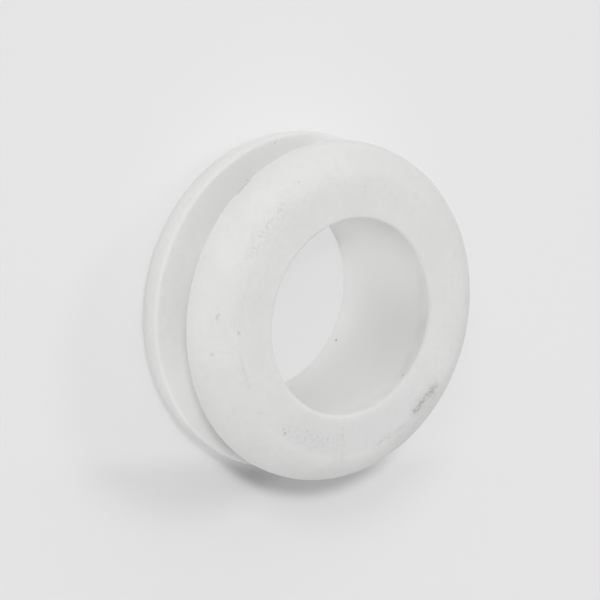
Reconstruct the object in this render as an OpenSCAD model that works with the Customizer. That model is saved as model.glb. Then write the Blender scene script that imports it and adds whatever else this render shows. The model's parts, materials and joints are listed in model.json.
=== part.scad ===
// Soft white panel grommet: a moulded ring with two flanges and a groove between them.
// The groove grips the edge of a round hole in a sheet, and the bore lines that hole.
// The bore's axis is +Z and the ring stands on the flat face of its lower flange, at Z = 0.

/* [Flanges] */
// Diameter over the two flanges
flange_d = 22; // [20.5:0.5:26]
// Thickness of each flange
flange_t = 3; // [2.9:0.1:4]
// Radius of the large round between a flange's rim and its outer face
shoulder_r = 2.4; // [1.2:0.1:2.5]
// Angle in degrees at which the large round meets the outer face, as a slight crease
crease_a = 8; // [0:1:14]
// Radius of the small round on the rim's corner beside the groove
lip_r = 0.25; // [0.1:0.05:0.35]

/* [Panel groove] */
// Diameter of the neck at the bottom of the groove, which is the hole in the sheet
neck_d = 16; // [14.5:0.25:18]
// Width of the groove, which is the thickness of the sheet
groove_w = 3.1; // [1:0.1:6]
// Radius of the fillet in the two inner corners of the groove
groove_fillet_r = 0.3; // [0.1:0.05:0.45]

/* [Bore] */
// Diameter of the bore
bore_d = 12.7; // [9:0.1:13.5]
// Radius of the round on each edge of the bore
bore_edge_r = 0.2; // [0.1:0.05:0.6]

/* [Hidden] */
$fn = 128;
flange_r = flange_d / 2;
neck_r = neck_d / 2;
bore_r = bore_d / 2;
overall_t = 2 * flange_t + groove_w;
shoulder_w = shoulder_r * (1 - sin(crease_a));
shoulder_t = shoulder_r * cos(crease_a);
rubber_colour = "whitesmoke";

// Piece between a square corner at the origin and a quarter round of radius r.
// Taken away it rounds an outer corner, and added it fills an inner one.
module corner_web(r) {
    difference() {
        square(r);
        translate([r, r])
            circle(r);
    }
}

// Corner that the large round leaves off. The round is upright where it meets the rim, at X = 0,
// and crosses the outer face, at Y = 0, at the crease's angle.
module shoulder_web() {
    difference() {
        square([shoulder_w, shoulder_t]);
        translate([shoulder_r, shoulder_t])
            circle(shoulder_r);
    }
}

// Section of one flange, with its outer face on the line Y = 0
module flange_section() {
    difference() {
        translate([bore_r, 0])
            square([flange_r - bore_r, flange_t]);
        translate([flange_r, 0])
            mirror([1, 0])
                shoulder_web();
        translate([flange_r, flange_t])
            rotate(180)
                corner_web(lip_r);
        translate([bore_r, 0])
            corner_web(bore_edge_r);
    }
}

// Section of the neck's lower half, with the fillet that carries it into the flange
module half_neck_section() {
    translate([bore_r, flange_t])
        square([neck_r - bore_r, groove_w / 2]);
    translate([neck_r, flange_t])
        corner_web(groove_fillet_r);
}

module half_section() {
    flange_section();
    half_neck_section();
}

// The whole ring is one solid, turned from its section
module grommet() {
    color(rubber_colour)
        rotate_extrude()
            union() {
                half_section();
                translate([0, overall_t])
                    mirror([0, 1])
                        half_section();
            }
}

grommet();
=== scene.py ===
# Soft white panel grommet: the ring's detailed surface, its material, the stage and the camera.
# Lengths are in metres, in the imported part's frame: the bore's axis is +Z and the floor is Z = 0.

import json
import math
from types import SimpleNamespace

import bpy
from mathutils import Matrix, Vector, noise


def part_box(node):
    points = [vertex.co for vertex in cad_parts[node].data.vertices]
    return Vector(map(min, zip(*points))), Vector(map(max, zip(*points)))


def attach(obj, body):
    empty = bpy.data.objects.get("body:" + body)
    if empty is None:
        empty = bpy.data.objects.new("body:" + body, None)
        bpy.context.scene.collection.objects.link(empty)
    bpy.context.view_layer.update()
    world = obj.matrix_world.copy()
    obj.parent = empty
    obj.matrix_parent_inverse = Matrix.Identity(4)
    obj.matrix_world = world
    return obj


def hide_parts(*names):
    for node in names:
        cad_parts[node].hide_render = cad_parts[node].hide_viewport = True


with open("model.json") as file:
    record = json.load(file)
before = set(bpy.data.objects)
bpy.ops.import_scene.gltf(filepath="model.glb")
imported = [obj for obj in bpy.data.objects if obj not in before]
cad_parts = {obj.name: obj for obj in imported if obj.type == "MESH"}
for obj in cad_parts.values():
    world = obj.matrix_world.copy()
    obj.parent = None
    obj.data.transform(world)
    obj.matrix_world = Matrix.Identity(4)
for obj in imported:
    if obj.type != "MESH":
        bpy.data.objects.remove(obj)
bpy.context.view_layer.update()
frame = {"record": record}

bl_info = {
    "name": "White Panel Grommet",
    "version": (1, 0, 0),
    "blender": (4, 5, 0),
    "location": "3D View > Sidebar > Grommet",
    "description": "Builds a soft white panel grommet with its stage, lamps and camera",
    "category": "Add Mesh",
}

NODE = "grommet"
BODY = "root"
MM = 0.001

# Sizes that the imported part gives
BORE_MOUNT = next(m for m in frame["record"]["mounts"] if m["name"] == "bore")
NODE_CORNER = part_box(NODE)[1]
FLANGE_R = NODE_CORNER.x
OVERALL_T = NODE_CORNER.z
BORE_R = BORE_MOUNT["dims"]["r_mm"] * MM
BORE_EDGE_R = (OVERALL_T - BORE_MOUNT["dims"]["length_mm"] * MM) / 2


# Small helpers


def linear(hex_code):
    """An opaque sRGB hex colour as linear values."""
    digits = hex_code.lstrip("#")
    values = [int(digits[i : i + 2], 16) / 255 for i in (0, 2, 4)]
    turned = [v / 12.92 if v <= 0.04045 else ((v + 0.055) / 1.055) ** 2.4 for v in values]
    return (*turned, 1.0)


def add_node(tree, kind, settings=None, values=None, links=None):
    """A node with its settings, its input values and the sockets that feed it."""
    node = tree.nodes.new(kind)
    for name, value in (settings or {}).items():
        setattr(node, name, value)
    for name, value in (values or {}).items():
        node.inputs[name].default_value = value
    for name, socket in (links or {}).items():
        tree.links.new(socket, node.inputs[name])
    return node


def new_material(name):
    """An empty material with its output node."""
    material = bpy.data.materials.new(name)
    material.use_nodes = True
    material.node_tree.nodes.clear()
    output = add_node(material.node_tree, "ShaderNodeOutputMaterial")
    return material, material.node_tree, output


# Settings that a user would change


class GROMMET_PG_sizes(bpy.types.PropertyGroup):
    """Sizes of the ring that its outside box and bore don't give"""

    flange_t: bpy.props.FloatProperty(
        name="Flange thickness",
        description="Thickness of each flange",
        default=3.0 * MM,
        unit="LENGTH",
    )
    neck_d: bpy.props.FloatProperty(
        name="Neck diameter",
        description="Diameter at the bottom of the groove",
        default=16.0 * MM,
        unit="LENGTH",
    )
    shoulder_r: bpy.props.FloatProperty(
        name="Shoulder radius",
        description="Radius of the large round between rim and outer face",
        default=2.4 * MM,
        unit="LENGTH",
    )
    crease_a: bpy.props.FloatProperty(
        name="Crease angle",
        description="Angle at which the large round meets the outer face",
        default=math.radians(8),
        subtype="ANGLE",
    )
    lip_r: bpy.props.FloatProperty(
        name="Lip radius",
        description="Radius of the rim's corner beside the groove",
        default=0.25 * MM,
        unit="LENGTH",
    )
    groove_fillet_r: bpy.props.FloatProperty(
        name="Groove fillet",
        description="Radius in the inner corners of the groove",
        default=0.3 * MM,
        unit="LENGTH",
    )
    waviness: bpy.props.FloatProperty(
        name="Waviness",
        description="Depth of the unevenness that moulding leaves in the surface",
        default=0.02 * MM,
        unit="LENGTH",
    )
    section_step: bpy.props.FloatProperty(
        name="Section step",
        description="Longest stretch between two points of the section",
        default=0.2 * MM,
        unit="LENGTH",
    )
    segments: bpy.props.IntProperty(
        name="Segments",
        description="Number of segments round the ring",
        default=400,
        min=64,
        max=400,
    )


class GROMMET_PG_finish(bpy.types.PropertyGroup):
    """Colours of the rubber and its marks"""

    rubber: bpy.props.FloatVectorProperty(
        name="Rubber",
        description="Colour of the clean rubber",
        default=linear("#E9E9E8"),
        size=4,
        subtype="COLOR",
    )
    # Used for painted light: the groove beside the crescent and the bore's wall are lightened with
    # it
    rubber_painted_light: bpy.props.FloatVectorProperty(
        name="Clean rubber",
        description="Colour of the rubber where hands don't reach",
        default=linear("#F3F3F2"),
        size=4,
        subtype="COLOR",
    )
    # Used for real dulling and also for painted shade in the groove, on the bore's wall and along
    # the face's lower side
    rubber_worn_and_shade: bpy.props.FloatVectorProperty(
        name="Handled rubber",
        description="Colour of the rubber where handling has dulled it",
        default=linear("#DCDCDC"),
        size=4,
        subtype="COLOR",
    )
    # Also used for painted shade: the crescent in the groove, the bore's rounded edge, the cuts'
    # line and the bubble's dark side
    dirt: bpy.props.FloatVectorProperty(
        name="Dirt",
        description="Colour of the dirt pressed into the surface",
        default=linear("#8A8A8A"),
        size=4,
        subtype="COLOR",
    )


class GROMMET_PG_stage(bpy.types.PropertyGroup):
    """Floor, light and camera"""

    backdrop: bpy.props.FloatVectorProperty(
        name="Backdrop",
        description="Pale grey of the floor and of what lies behind it",
        default=linear("#E5E5E5"),
        size=4,
        subtype="COLOR",
    )
    floor_side: bpy.props.FloatProperty(
        name="Floor side",
        description="Side of the square floor",
        default=4.0,
        unit="LENGTH",
    )
    floor_own: bpy.props.FloatProperty(
        name="Floor's own share",
        description="Share of the floor's colour that its shadow doesn't darken",
        default=0.02,
        subtype="FACTOR",
    )
    lit_own: bpy.props.FloatProperty(
        name="Own share under the bore",
        description="The same share for the floor under the bore; the lit side lies between",
        default=0.9,
        subtype="FACTOR",
    )
    bore_level: bpy.props.FloatProperty(
        name="Level under the bore",
        description="Level of the floor that is seen through the ring against the open floor",
        default=0.93,
        subtype="FACTOR",
    )
    shadow_turn: bpy.props.FloatProperty(
        name="Shadow side",
        description="Angle from +X of the side on which the ring's shadow falls",
        default=math.radians(12),
        subtype="ANGLE",
    )
    shadow_start: bpy.props.FloatProperty(
        name="Shadow start",
        description="Distance to the shadow's side at which the floor begins to show its shadow",
        default=10.2 * MM,
        unit="LENGTH",
    )
    shadow_full: bpy.props.FloatProperty(
        name="Shadow full",
        description="Distance to the same side from which the floor shows all its shadow",
        default=12.4 * MM,
        unit="LENGTH",
    )
    shadow_least: bpy.props.FloatProperty(
        name="Least shadow",
        description="Share of its shadow that the floor shows before that start",
        default=0.3,
        subtype="FACTOR",
    )
    world_strength: bpy.props.FloatProperty(
        name="World strength",
        description="Mean strength of the light from all round",
        default=0.46,
    )
    lamp_strength: bpy.props.FloatProperty(
        name="Lamp strength",
        description="Strength of all the lamps together, as a share of the set level",
        default=1.0,
    )
    camera_elevation: bpy.props.FloatProperty(
        name="Camera elevation",
        description="Camera's height above the horizon as an angle",
        default=math.radians(50.626),
        subtype="ANGLE",
    )
    camera_azimuth: bpy.props.FloatProperty(
        name="Camera azimuth",
        description="Camera's turn round the ring, with zero looking along +Y",
        default=math.radians(0.059),
        subtype="ANGLE",
    )
    camera_roll: bpy.props.FloatProperty(
        name="Camera roll",
        description="Camera's turn about its own view, which shows the ring on its edge",
        default=math.radians(105.901),
        subtype="ANGLE",
    )
    camera_distance: bpy.props.FloatProperty(
        name="Camera distance",
        description="Distance from the camera to the point that it looks at",
        default=238.74 * MM,
        unit="LENGTH",
    )
    camera_aim: bpy.props.FloatVectorProperty(
        name="Camera aim",
        description="Point at the middle of the picture",
        default=(-0.156 * MM, -0.491 * MM, 4.147 * MM),
        size=3,
        subtype="TRANSLATION",
    )
    camera_lens: bpy.props.FloatProperty(
        name="Focal length",
        description="Focal length in millimetres on a 36 mm sensor",
        default=222.36,
        unit="CAMERA",
    )


# The ring's section


def arc(centre, radius, start, end, step):
    """Points of a round from one angle to another, both in degrees."""
    length = abs(math.radians(end - start)) * radius
    count = max(4, math.ceil(length / step))
    points = []
    for i in range(count + 1):
        angle = math.radians(start + (end - start) * i / count)
        points.append((centre[0] + radius * math.cos(angle), centre[1] + radius * math.sin(angle)))
    return points


def stretch(start, end, step):
    """Points of a straight stretch between its ends, which the rounds hold."""
    length = math.dist(start, end)
    count = max(1, math.ceil(length / step))
    return [
        (start[0] + (end[0] - start[0]) * i / count, start[1] + (end[1] - start[1]) * i / count)
        for i in range(1, count)
    ]


def half_section(sizes):
    """Section of the lower flange and half the neck, from the bore's lower edge to mid-groove."""
    step = sizes.section_step
    fine = step / 2
    neck_r = sizes.neck_d / 2
    edge = arc((BORE_R + BORE_EDGE_R, BORE_EDGE_R), BORE_EDGE_R, 180, 270, fine / 2)
    shoulder_t = sizes.shoulder_r * math.cos(sizes.crease_a)
    crease = 270 + math.degrees(sizes.crease_a)
    shoulder = arc((FLANGE_R - sizes.shoulder_r, shoulder_t), sizes.shoulder_r, crease, 360, fine)
    lip = arc((FLANGE_R - sizes.lip_r, sizes.flange_t - sizes.lip_r), sizes.lip_r, 0, 90, fine / 2)
    fillet_r = sizes.groove_fillet_r
    fillet = arc((neck_r + fillet_r, sizes.flange_t + fillet_r), fillet_r, 270, 180, fine / 2)
    middle = (neck_r, OVERALL_T / 2)
    points = list(edge)
    # The crease is left out between its neighbours, as it is worn soft
    points += stretch(edge[-1], shoulder[0], step)[:-1]
    points += shoulder[2:]
    points += stretch(shoulder[-1], lip[0], step)
    points += lip
    points += stretch(lip[-1], fillet[0], step)
    points += fillet
    points += stretch(fillet[-1], middle, step)
    points.append(middle)
    return points


def whole_section(sizes):
    """Closed section of the ring: the lower half, the same turned over, and the bore's wall."""
    lower = half_section(sizes)
    upper = [(r, OVERALL_T - z) for r, z in reversed(lower[:-1])]
    wall = stretch(upper[-1], lower[0], sizes.section_step)
    return lower + upper + wall


# Marks are placed by radius, angle from +X in degrees and height, and all their lengths are in
# millimetres. TOP is the height of the upper face.
TOP = OVERALL_T / MM
BUBBLE = (10.25, -77.0, 8.6)

# Small losses in the moulded surface: place, reach and depth. Four are cuts in the back edge of
# the upper flange, and the last is the burst bubble.
NICKS = (
    (10.98, -126.2, 6.24, 0.24, 0.06),
    (10.98, -124.1, 6.22, 0.3, 0.07),
    (10.98, -122.0, 6.24, 0.24, 0.05),
    (10.98, -120.1, 6.22, 0.28, 0.06),
    (*BUBBLE, 0.24, 0.03),
)

# Specks: place, radius and share of dirt
SPECKS = (
    (9.02, -71.6, 9.09, 0.07, 0.35),
    (8.95, -71.2, 9.09, 0.14, 0.12),
    (9.1, -72.6, 9.08, 0.05, 0.25),
    (10.5, -64.0, 8.2, 0.12, 0.15),
    (6.35, 74.2, 0.87, 0.07, 0.85),
    (6.35, 65.1, 8.71, 0.06, 0.6),
    (8.44, -166.2, TOP, 0.05, 0.3),
    (8.75, 164.0, TOP, 0.1, 0.12),
    (9.98, -136.2, 8.68, 0.06, 0.3),
    (11.0, -113.4, 2.56, 0.12, 0.12),
    (10.66, -151.4, 3.0, 0.07, 0.3),
    (9.2, -135.6, 3.0, 0.08, 0.25),
    (7.16, 14.2, TOP, 0.05, 0.2),
    (7.6, 14.7, TOP, 0.05, 0.3),
    (8.62, -18.4, TOP, 0.09, 0.4),
    (8.5, -20.2, TOP, 0.05, 0.35),
    (8.4, -16.8, TOP, 0.05, 0.3),
    (7.9, 5.8, TOP, 0.05, 0.25),
    (8.85, -34.4, TOP, 0.06, 0.2),
)


def sunk(place, waviness):
    """How far the surface lies below the plain round section at a point."""
    depth = waviness * (0.5 + 0.5 * noise.noise(place / MM))
    for radius, angle, height, reach, deep in NICKS:
        near = (place / MM - Vector(on_ring(radius, angle, height))).length / reach
        if near < 1:
            depth += deep * MM * (1 - near**2)
    return depth


def lathe(name, section, segments, waviness):
    """A closed mesh turned from a closed section of (radius, height) points, with a slightly
    uneven surface and its nicks."""
    rows = len(section)
    outward = []
    for j in range(rows):
        (r0, z0), (r1, z1) = section[j - 1], section[(j + 1) % rows]
        outward.append(Vector((z1 - z0, 0.0, r0 - r1)).normalized())
    vertices = []
    for i in range(segments):
        turn = Matrix.Rotation(2 * math.pi * i / segments, 3, "Z")
        for (r, z), way in zip(section, outward):
            place = turn @ Vector((r, 0.0, z))
            vertices.append(place - turn @ way * sunk(place, waviness))
    faces = []
    for i in range(segments):
        here = i * rows
        there = ((i + 1) % segments) * rows
        for j in range(rows):
            k = (j + 1) % rows
            faces.append((here + j, here + k, there + k, there + j))
    mesh = bpy.data.meshes.new(name)
    mesh.from_pydata(vertices, [], faces)
    mesh.validate()
    mesh.polygons.foreach_set("use_smooth", [True] * len(mesh.polygons))
    mesh.update()
    return mesh


# Material


def ramp(tree, value, start, end):
    """A share that goes smoothly from 0 at start to 1 at end."""
    node = add_node(
        tree,
        "ShaderNodeMapRange",
        {"interpolation_type": "SMOOTHSTEP"},
        {"From Min": start, "From Max": end},
        {"Value": value},
    )
    return node.outputs["Result"]


def times(tree, *shares):
    """The product of shares, each a socket or a number."""
    result = shares[0]
    for share in shares[1:]:
        node = add_node(tree, "ShaderNodeMath", {"operation": "MULTIPLY"}, links={0: result})
        if isinstance(share, (int, float)):
            node.inputs[1].default_value = share
        else:
            tree.links.new(share, node.inputs[1])
        result = node.outputs["Value"]
    return result


def band(tree, value, low, high, fade):
    """A share that is 1 between low and high and fades out on both sides."""
    rise = ramp(tree, value, low - fade, low + fade)
    fall = ramp(tree, value, high + fade, high - fade)
    return times(tree, rise, fall)


def spot(tree, place, centre, radius, fade):
    """A share that is 1 within a radius of a point."""
    reach = add_node(
        tree, "ShaderNodeVectorMath", {"operation": "DISTANCE"}, {1: centre}, {0: place}
    )
    return ramp(tree, reach.outputs["Value"], radius + fade, radius - fade)


def grain(tree, place, scale, detail, low, high):
    """Cloudy noise of so many cells a millimetre, as a share that goes from 0 to 1."""
    noise_node = add_node(
        tree, "ShaderNodeTexNoise", values={"Scale": scale, "Detail": detail}, links={0: place}
    )
    return ramp(tree, noise_node.outputs["Fac"], low, high)


def stained(tree, colour, stain, *shares):
    """A colour turned towards a stain by the product of some shares."""
    share = times(tree, *shares)
    mix = add_node(tree, "ShaderNodeMix", {"data_type": "RGBA"}, {7: tuple(stain)}, {0: share})
    if isinstance(colour, bpy.types.NodeSocket):
        tree.links.new(colour, mix.inputs[6])
    else:
        mix.inputs[6].default_value = tuple(colour)
    return mix.outputs[2]


def on_ring(radius, angle, height):
    """Point in millimetres at a radius, an angle in degrees from +X, and a height."""
    turn = math.radians(angle)
    return (radius * math.cos(turn), radius * math.sin(turn), height)


def streak(tree, place, start, end, half_width, fade):
    """A share that is 1 along a straight stretch between two points on one level."""
    start, end = Vector(start), Vector(end)
    along = (end - start).normalized()
    across = Vector((-along.y, along.x, 0.0))
    offset = add_node(
        tree, "ShaderNodeVectorMath", {"operation": "SUBTRACT"}, {1: tuple(start)}, {0: place}
    )
    shares = []
    for way, low, high in (
        (along, 0.0, (end - start).length),
        (across, -half_width, half_width),
    ):
        run = add_node(
            tree,
            "ShaderNodeVectorMath",
            {"operation": "DOT_PRODUCT"},
            {1: tuple(way)},
            {0: offset.outputs["Vector"]},
        )
        shares.append(band(tree, run.outputs["Value"], low, high, fade))
    return times(tree, *shares)


def ring_coordinates(tree):
    """Where a point of the surface lies: its place, radius and height in millimetres, its angle
    in degrees from +X, and shares for the upper face with its shoulder, for the lower flange and
    for the bore's wall."""
    coordinates = add_node(tree, "ShaderNodeTexCoord")
    place = add_node(
        tree,
        "ShaderNodeVectorMath",
        {"operation": "SCALE"},
        {"Scale": 1 / MM},
        {0: coordinates.outputs["Object"]},
    ).outputs["Vector"]
    parts = add_node(tree, "ShaderNodeSeparateXYZ", links={0: place})
    height = parts.outputs["Z"]
    level = add_node(
        tree, "ShaderNodeCombineXYZ", links={0: parts.outputs["X"], 1: parts.outputs["Y"]}
    )
    radius = add_node(
        tree, "ShaderNodeVectorMath", {"operation": "LENGTH"}, links={0: level.outputs["Vector"]}
    ).outputs["Value"]
    turn = add_node(
        tree,
        "ShaderNodeMath",
        {"operation": "ARCTAN2"},
        links={0: parts.outputs["Y"], 1: parts.outputs["X"]},
    )
    return SimpleNamespace(
        place=place,
        radius=radius,
        height=height,
        angle=times(tree, turn.outputs["Value"], math.degrees(1)),
        upper=ramp(tree, height, 7.9, 8.3),
        lower=ramp(tree, height, 3.3, 3.0),
        wall=ramp(tree, radius, 6.44, 6.36),
    )


def clouds(tree, on, finish):
    """Clouds in the rubber, 3 mm and 0.4 mm across, and the dulling that handling leaves."""
    large = grain(tree, on.place, 0.33, 3.0, 0.35, 0.65)
    small = grain(tree, on.place, 2.4, 2.0, 0.45, 0.75)
    colour = stained(tree, finish.rubber, finish.rubber_worn_and_shade, large, 0.2)
    return stained(tree, colour, finish.rubber_worn_and_shade, small, 0.25)


def groove_marks(tree, on, finish, colour):
    """The lower flange, with painted shade in the groove on one side and painted light on the side
    next to it, and beyond that a painted shadow of the upper flange: a dark crescent beside its
    edge. The crescent's edge is a circle off the ring's middle."""
    # Painted shadow: a dark crescent on the lower flange beside the upper flange's edge, where that
    # flange's shadow falls
    held = times(tree, on.lower, spot(tree, on.place, (0.0, 2.6, 3.0), 11.35, 0.25))
    held = times(tree, held, band(tree, on.angle, -40, 4, 12))
    colour = stained(tree, colour, finish.dirt, held, 0.16)
    # Painted shade: the groove of the lower flange darkened on one side
    groove_shade = times(tree, on.lower, ramp(tree, on.angle, -90, -135))
    groove_shade = times(tree, groove_shade, ramp(tree, on.angle, -179, -156))
    groove_shade = times(tree, groove_shade, ramp(tree, on.radius, 10.98, 10.78))
    colour = stained(tree, colour, finish.rubber_worn_and_shade, groove_shade, 0.8)
    # Painted light: the lower flange lightened on the side next to the crescent
    groove_light = times(tree, on.lower, band(tree, on.angle, -55, -24, 12))
    return stained(tree, colour, finish.rubber_painted_light, groove_light, 0.8)


def bore_marks(tree, on, finish, colour):
    """The bore's wall lightened with painted light, most of all on the side that lies in shade,
    towards the upper face, with painted shade on one stretch and on its rounded edge."""
    # Painted light: the whole wall lightened against the shade in the bore
    colour = stained(tree, colour, finish.rubber_painted_light, on.wall, 0.8)
    # Painted light: more on the side of the bore's top that lies in the key lamp's shade, growing
    # towards the upper face
    bore_top_light = times(tree, on.wall, band(tree, on.angle, 122, 160, 18))
    bore_top_light = times(tree, bore_top_light, ramp(tree, on.height, 3.0, 8.6))
    colour = stained(tree, colour, finish.rubber_painted_light, bore_top_light)
    # Painted shade: one stretch of the wall darkened, growing towards the upper face
    bore_stretch_shade = times(tree, on.wall, band(tree, on.angle, 70, 114, 22))
    bore_stretch_shade = times(tree, bore_stretch_shade, ramp(tree, on.height, -2.0, 6.0))
    colour = stained(tree, colour, finish.rubber_worn_and_shade, bore_stretch_shade, 0.7)
    # Painted shade on the bore's rounded edge, which takes out the highlight that it catches
    edge = times(tree, ramp(tree, on.radius, 6.35, 6.37), ramp(tree, on.radius, 6.58, 6.48))
    edge = times(tree, edge, on.upper, band(tree, on.angle, 25, 130, 20))
    return stained(tree, colour, finish.dirt, edge, 0.12)


def crease_marks(tree, on, finish, colour):
    """Dust held in the crease round the outer face, broken up along its length, and one scored
    line."""
    crease = band(tree, on.radius, 8.86, 8.98, 0.22)
    broken = grain(tree, on.place, 0.5, 2.0, 0.4, 0.62)
    left = band(tree, on.angle, -125, -38, 12)
    dusty = add_node(tree, "ShaderNodeMath", {"operation": "MAXIMUM"}, links={0: broken, 1: left})
    colour = stained(tree, colour, finish.dirt, crease, on.upper, dusty.outputs["Value"], 0.04)
    ends = (on_ring(8.99, -62.5, TOP), on_ring(8.87, -46.5, TOP))
    score = streak(tree, on.place, *ends, 0.02, 0.08)
    return stained(tree, colour, finish.dirt, score, on.upper, 0.16)


def smudge(tree, on, finish, colour):
    """Dark speckles 0.15 mm across pressed in along the crease, in a soft grey stain that runs
    out over the shoulder, with a fainter tail."""
    speckle = grain(tree, on.place, 6.0, 3.0, 0.44, 0.62)
    smear = (on_ring(8.66, 55.6, TOP), on_ring(8.84, 72.0, TOP))
    trail = (on_ring(8.87, 49.6, TOP), on_ring(8.93, 33.4, TOP))
    grime = times(tree, band(tree, on.radius, 8.9, 9.9, 0.5), band(tree, on.angle, 38, 74, 14))
    halo = streak(tree, on.place, *smear, 0.3, 0.6)
    core = streak(tree, on.place, *smear, 0.1, 0.24)
    tail = streak(tree, on.place, *trail, 0.06, 0.18)
    # Each patch with the shares of its even stain and of its speckles
    for patch, even, speckled in (
        (grime, 0.09, 0.08),
        (halo, 0.17, 0.25),
        (core, 0.25, 0.9),
        (tail, 0.1, 0.36),
    ):
        patch = times(tree, patch, on.upper)
        colour = stained(tree, colour, finish.dirt, patch, even)
        colour = stained(tree, colour, finish.dirt, patch, speckle, speckled)
    return colour


def face_marks(tree, on, finish, colour):
    """The face with painted shade along its lower side in the picture, scuffs in it, and a fine
    scratch outwards over the shoulder."""
    # Painted shade: the face darkened along its lower side in the picture
    lower_side_shade = times(tree, band(tree, on.radius, 6.7, 8.9, 0.3), on.upper)
    lower_side_shade = times(tree, lower_side_shade, band(tree, on.angle, -22, 58, 24))
    colour = stained(tree, colour, finish.rubber_worn_and_shade, lower_side_shade, 0.4)
    scuffs = times(tree, band(tree, on.radius, 7.6, 8.7, 0.5), on.upper)
    scuffs = times(tree, scuffs, band(tree, on.angle, -20, 14, 9))
    grains = grain(tree, on.place, 4.5, 3.0, 0.5, 0.68)
    colour = stained(tree, colour, finish.dirt, scuffs, grains, 0.2)
    colour = stained(tree, colour, finish.rubber_worn_and_shade, scuffs, 0.3)
    ends = (on_ring(7.2, 14.3, TOP), on_ring(9.5, 15.4, TOP))
    scratch = streak(tree, on.place, *ends, 0.02, 0.06)
    worn_through = grain(tree, on.place, 3.0, 1.0, 0.4, 0.6)
    return stained(tree, colour, finish.dirt, scratch, on.upper, worn_through, 0.3)


def shoulder_marks(tree, on, finish, colour):
    """Roughened skin outside the crease, where fine grains of dust have settled, and painted shade
    in the cuts of the upper flange's back edge, broken up along its length."""
    rough_skin = times(tree, band(tree, on.radius, 9.15, 9.75, 0.3), on.upper)
    rough_skin = times(tree, rough_skin, band(tree, on.angle, -130, -98, 8))
    grains = grain(tree, on.place, 4.0, 2.0, 0.42, 0.68)
    colour = stained(tree, colour, finish.dirt, rough_skin, grains, 0.16)
    # Painted shade along the cuts in the upper flange's back edge, the gap behind it
    ends = (on_ring(10.98, -126.6, 6.3), on_ring(10.98, -119.8, 6.3))
    cuts = streak(tree, on.place, *ends, 0.1, 0.1)
    cuts = times(tree, cuts, band(tree, on.height, 6.2, 6.4, 0.05))
    broken = grain(tree, on.place, 3.0, 1.0, 0.3, 0.6)
    return stained(tree, colour, finish.dirt, cuts, broken, 0.55)


def specks(tree, on, finish, colour):
    """Small dark specks with a soft edge."""
    for radius, angle, height, size, share in SPECKS:
        speck = spot(tree, on.place, on_ring(radius, angle, height), size, 0.04)
        colour = stained(tree, colour, finish.dirt, speck, share)
    return colour


def bubble_shade_side(tree, on):
    """Painted shade on one side of the burst bubble's rim: a crescent that opens towards the bore.
    """
    whole = spot(tree, on.place, on_ring(*BUBBLE), 0.25, 0.06)
    bright = spot(tree, on.place, on_ring(10.12, -76.9, 8.7), 0.25, 0.08)
    rim = add_node(tree, "ShaderNodeMath", {"operation": "SUBTRACT"}, links={0: whole, 1: bright})
    return ramp(tree, rim.outputs["Value"], 0.0, 1.0)


def rubber_material(finish):
    """Silicone rubber moulded white: matt and seen slightly into, so that its shading is soft, with
    faint clouds in its colour, a dusty crease, a few specks and one smudge of dirt, and painted
    light and shade in the groove, in the bore, on the face's lower side, along the cuts and at the
    bubble."""
    material, tree, output = new_material("moulded white silicone rubber")
    on = ring_coordinates(tree)
    colour = clouds(tree, on, finish)
    for marks in (
        groove_marks,
        bore_marks,
        crease_marks,
        smudge,
        face_marks,
        shoulder_marks,
        specks,
    ):
        colour = marks(tree, on, finish, colour)
    # Painted shade: the dark side of the burst bubble's rim, which also sets its pit in the relief
    bubble = bubble_shade_side(tree, on)
    colour = stained(tree, colour, finish.dirt, bubble, 0.2)

    # Moulding grain of 0.25 mm in the surface and in its gloss
    texture = grain(tree, on.place, 4.0, 4.0, 0.25, 0.75)
    dull = add_node(
        tree,
        "ShaderNodeMapRange",
        values={"To Min": 0.56, "To Max": 0.72},
        links={"Value": texture},
    )
    relief = add_node(
        tree,
        "ShaderNodeBump",
        values={"Strength": 0.25, "Distance": 0.012 * MM},
        links={"Height": texture},
    )
    pits = add_node(
        tree,
        "ShaderNodeBump",
        {"invert": True},
        {"Strength": 0.6, "Distance": 0.03 * MM},
        {"Height": bubble, "Normal": relief.outputs["Normal"]},
    )
    surface = add_node(
        tree,
        "ShaderNodeBsdfPrincipled",
        values={
            "IOR": 1.41,
            "Subsurface Weight": 0.35,
            "Subsurface Radius": (1.0, 0.95, 0.9),
            "Subsurface Scale": 0.8 * MM,
        },
        links={
            "Base Color": colour,
            "Roughness": dull.outputs["Result"],
            "Normal": pits.outputs["Normal"],
        },
    )
    tree.links.new(surface.outputs["BSDF"], output.inputs["Surface"])
    return material


# Stage


def seen_share(tree, share):
    """A share for rays that see a surface or the backdrop, and 0 for those that carry light."""
    path = add_node(tree, "ShaderNodeLightPath")
    seen = path.outputs["Is Camera Ray"]
    for other in ("Is Glossy Ray", "Is Transmission Ray"):
        seen = add_node(
            tree,
            "ShaderNodeMath",
            {"operation": "MAXIMUM"},
            links={0: seen, 1: path.outputs[other]},
        ).outputs["Value"]
    return times(tree, seen, share)


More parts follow.
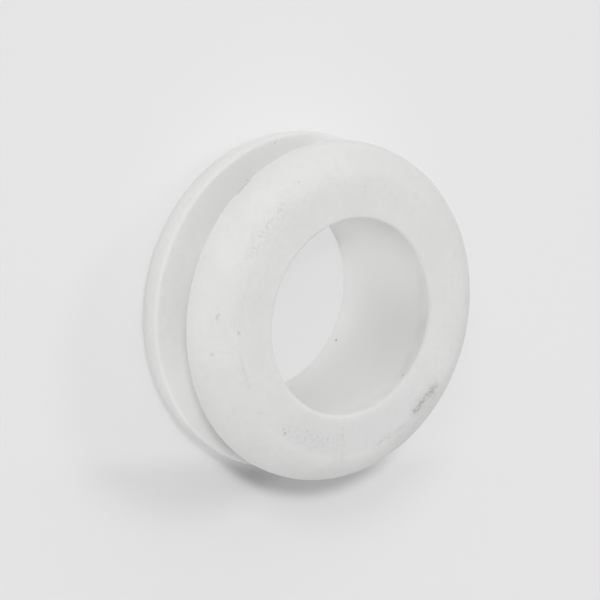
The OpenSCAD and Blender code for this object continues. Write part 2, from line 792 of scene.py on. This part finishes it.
def floor_material(stage):
    """Pale seamless paper: flat and even, with only the ring's soft shadow on it. A share of its
    colour is its own, so that the far floor meets the backdrop. That share is small on the side
    where the shadow falls, and large on the lit side and under the bore, where it is painted light:
    the paper shows pale up to the ring's edge in place of the ring's shade."""
    material, tree, output = new_material("pale seamless paper")
    place = add_node(tree, "ShaderNodeTexCoord").outputs["Object"]
    radius = add_node(tree, "ShaderNodeVectorMath", {"operation": "LENGTH"}, links={0: place})
    turn = stage.shadow_turn
    across = add_node(
        tree,
        "ShaderNodeVectorMath",
        {"operation": "DOT_PRODUCT"},
        {1: (math.cos(turn), math.sin(turn), 0.0)},
        {0: place},
    )
    side = add_node(
        tree,
        "ShaderNodeMapRange",
        {"interpolation_type": "SMOOTHSTEP"},
        {
            "From Min": stage.shadow_start,
            "From Max": stage.shadow_full,
            "To Min": stage.shadow_least,
        },
        {"Value": across.outputs["Value"]},
    )
    outside = ramp(tree, radius.outputs["Value"], BORE_R, BORE_R + 2 * BORE_EDGE_R)
    shaded = times(tree, outside, side.outputs["Result"])
    own = add_node(
        tree,
        "ShaderNodeMapRange",
        values={"To Min": stage.lit_own, "To Max": stage.floor_own},
        links={"Value": shaded},
    )
    paper = add_node(tree, "ShaderNodeBsdfDiffuse", values={"Color": tuple(stage.backdrop)})
    level = add_node(
        tree, "ShaderNodeMapRange", values={"To Min": stage.bore_level}, links={"Value": outside}
    )
    plain = add_node(
        tree,
        "ShaderNodeEmission",
        values={"Color": tuple(stage.backdrop)},
        links={"Strength": level.outputs["Result"]},
    )
    surface = add_node(
        tree,
        "ShaderNodeMixShader",
        links={
            0: seen_share(tree, own.outputs["Result"]),
            1: paper.outputs["BSDF"],
            2: plain.outputs["Emission"],
        },
    )
    tree.links.new(surface.outputs["Shader"], output.inputs["Surface"])
    return material


def look_along(azimuth, elevation):
    """Direction from the ring towards a camera or lamp at that azimuth and elevation."""
    return Vector(
        (
            math.sin(azimuth) * math.cos(elevation),
            -math.cos(azimuth) * math.cos(elevation),
            math.sin(elevation),
        )
    )


class GROMMET_OT_ring(bpy.types.Operator):
    """Build the moulded ring's detailed surface"""

    bl_idname = "grommet.ring"
    bl_label = "Build Ring"

    def execute(self, context):
        sizes = context.scene.grommet_sizes
        mesh = lathe("ring", whole_section(sizes), sizes.segments, sizes.waviness)
        ring = bpy.data.objects.new("ring", mesh)
        context.scene.collection.objects.link(ring)
        mesh.materials.append(rubber_material(context.scene.grommet_finish))
        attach(ring, BODY)
        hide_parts(NODE)
        return {"FINISHED"}


class GROMMET_OT_stage(bpy.types.Operator):
    """Lay the floor, light the ring and set up the camera"""

    bl_idname = "grommet.stage"
    bl_label = "Set Stage"

    def execute(self, context):
        stage = context.scene.grommet_stage
        floor = lay_floor(context.scene, stage)
        light_world(context.scene, stage)
        hang_lamps(context.scene, stage, {"floor": floor, "ring": bpy.data.objects["ring"]})
        place_camera(context.scene, stage)
        return {"FINISHED"}


def lay_floor(scene, stage):
    """A plain square floor under the ring."""
    half = stage.floor_side / 2
    corners = [(-half, -half, 0), (half, -half, 0), (half, half, 0), (-half, half, 0)]
    mesh = bpy.data.meshes.new("floor")
    mesh.from_pydata(corners, [], [(0, 1, 2, 3)])
    floor = bpy.data.objects.new("floor", mesh)
    scene.collection.objects.link(floor)
    mesh.materials.append(floor_material(stage))
    return floor


def light_world(scene, stage):
    """Light from all round that grows evenly towards -X, the top of the picture, with the pale
    backdrop where a ray sees past the floor."""
    world = bpy.data.worlds.new("soft tent")
    world.use_nodes = True
    tree = world.node_tree
    tree.nodes.clear()
    output = add_node(tree, "ShaderNodeOutputWorld")
    coordinates = add_node(tree, "ShaderNodeTexCoord")
    way = add_node(
        tree, "ShaderNodeSeparateXYZ", links={"Vector": coordinates.outputs["Generated"]}
    )
    level = stage.world_strength
    strength = add_node(
        tree,
        "ShaderNodeMath",
        {"operation": "MULTIPLY_ADD"},
        {1: -level, 2: level},
        {0: way.outputs["X"]},
    )
    light = add_node(
        tree,
        "ShaderNodeBackground",
        values={"Color": (1.0, 1.0, 1.0, 1.0)},
        links={"Strength": strength.outputs["Value"]},
    )
    backdrop = add_node(
        tree,
        "ShaderNodeBackground",
        values={"Color": tuple(stage.backdrop), "Strength": 1.0},
    )
    mix = add_node(
        tree,
        "ShaderNodeMixShader",
        links={
            0: seen_share(tree, 1.0),
            1: light.outputs["Background"],
            2: backdrop.outputs["Background"],
        },
    )
    tree.links.new(mix.outputs["Shader"], output.inputs["Surface"])
    scene.world = world


# Soft lamps: what each one lights, azimuth and elevation in degrees, softness in degrees,
# strength, where 1 lights a surface that faces the lamp at just the level of its colour, and
# whether it casts shadows. The floor and the ring have lamps of their own, so that the ring's
# shadow falls short and dark below it in the picture, with a soft band to each side. The last
# four fill the ring's shaded sides and cast no shadow, so that the groove and the bore stay as
# light as a white ring's do.
LAMPS = (
    ("floor", 343, 52, 6, 0.44, True),
    ("floor", 338, 40, 12, 0.14, True),
    ("floor", 232, 50, 14, 0.13, True),
    ("ring", 346, 51, 6, 0.18, True),
    ("ring", 90, 45, 30, 0.08, True),
    ("ring", 0, 30, 30, 0.09, False),
    ("ring", 55, 30, 30, 0.16, False),
    ("ring", 150, 30, 30, 0.07, False),
    ("ring", 240, 30, 30, 0.08, False),
)


def hang_lamps(scene, stage, lit):
    """The soft lamps, far away, each one lighting the floor or the ring."""
    groups = {}
    for name, piece in lit.items():
        groups[name] = bpy.data.collections.new(f"lit {name}")
        groups[name].objects.link(piece)
    for number, (name, azimuth, elevation, softness, strength, shadow) in enumerate(LAMPS, 1):
        data = bpy.data.lights.new(f"lamp_{number}", "SUN")
        data.energy = math.pi * strength * stage.lamp_strength
        data.angle = math.radians(softness)
        data.use_shadow = shadow
        lamp = bpy.data.objects.new(data.name, data)
        scene.collection.objects.link(lamp)
        way = look_along(math.radians(azimuth), math.radians(elevation))
        lamp.rotation_euler = way.to_track_quat("Z", "Y").to_euler()
        lamp.light_linking.receiver_collection = groups[name]


def place_camera(scene, stage):
    """The camera, aimed as the photograph was taken."""
    back = look_along(stage.camera_azimuth, stage.camera_elevation)
    upright = (-back).to_track_quat("-Z", "Y").to_matrix().to_4x4()
    roll = Matrix.Rotation(stage.camera_roll, 4, "Z")
    data = bpy.data.cameras.new("camera")
    data.lens = stage.camera_lens
    data.clip_start = 0.01
    data.clip_end = 10.0
    camera = bpy.data.objects.new("camera", data)
    scene.collection.objects.link(camera)
    place = Vector(stage.camera_aim) + back * stage.camera_distance
    camera.matrix_world = Matrix.Translation(place) @ upright @ roll
    scene.camera = camera
    scene.view_settings.view_transform = "Standard"


class GROMMET_PT_panel(bpy.types.Panel):
    """Lists the pieces that make the grommet"""

    bl_label = "Grommet"
    bl_idname = "GROMMET_PT_panel"
    bl_space_type = "VIEW_3D"
    bl_region_type = "UI"
    bl_category = "Grommet"

    def draw(self, context):
        for operator in OPERATORS:
            self.layout.operator(operator.bl_idname)


GROUPS = {
    "grommet_sizes": GROMMET_PG_sizes,
    "grommet_finish": GROMMET_PG_finish,
    "grommet_stage": GROMMET_PG_stage,
}
OPERATORS = (GROMMET_OT_ring, GROMMET_OT_stage)
CLASSES = (*GROUPS.values(), *OPERATORS, GROMMET_PT_panel)


def register():
    for cls in CLASSES:
        bpy.utils.register_class(cls)
    for name, group in GROUPS.items():
        setattr(bpy.types.Scene, name, bpy.props.PointerProperty(type=group))


def unregister():
    for name in GROUPS:
        delattr(bpy.types.Scene, name)
    for cls in reversed(CLASSES):
        bpy.utils.unregister_class(cls)


def main():
    register()
    bpy.ops.grommet.ring()
    bpy.ops.grommet.stage()


if __name__ == "__main__":
    main()
